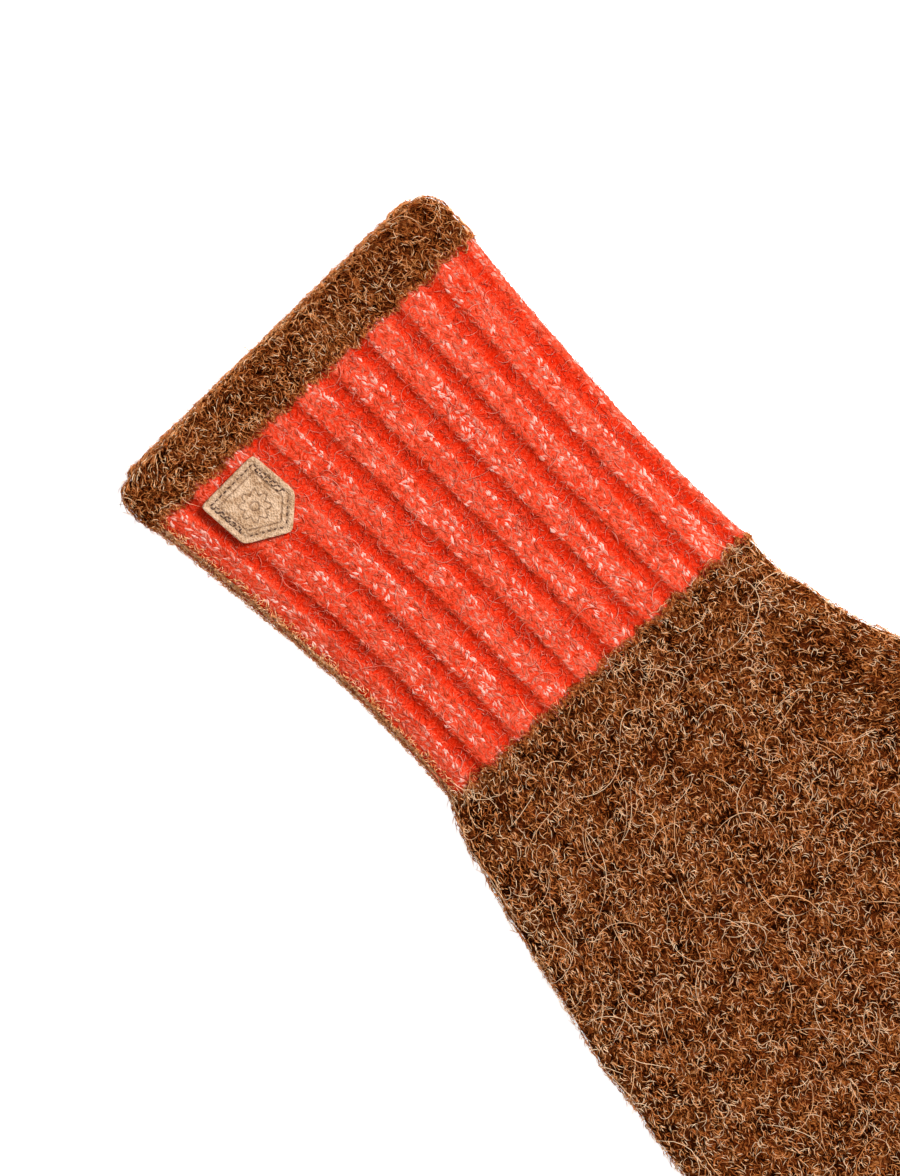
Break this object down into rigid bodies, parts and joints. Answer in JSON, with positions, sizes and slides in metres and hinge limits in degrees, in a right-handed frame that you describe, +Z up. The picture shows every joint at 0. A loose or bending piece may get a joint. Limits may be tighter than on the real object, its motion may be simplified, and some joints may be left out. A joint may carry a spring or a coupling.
{
  "type": "wool mitten",
  "caption": "Thick knitted mitten lying palm down, with a flared ribbed cuff, a contrasting edge band, a separate thumb and a small leather tag on the cuff.",
  "frame": {"origin": "middle of the mitten's footprint, on the surface that it lies on", "axes": "+Y from the cuff to the fingertips, +Z up out of the back of the hand, +X towards the little finger"},
  "size_m": [0.1304, 0.2736, 0.017],
  "materials": {
    "brown_wool": "fuzzy brown wool and mohair knit",
    "coral_wool": "fuzzy coral red melange rib knit",
    "tan_leather": "matte tan vegetable tanned leather"
  },
  "bodies": {
    "root": {"edge_band": "brown_wool", "ribbed_cuff": "coral_wool", "hand": "brown_wool", "thumb": "brown_wool", "leather_tag": "tan_leather"}
  },
  "joints": []
}
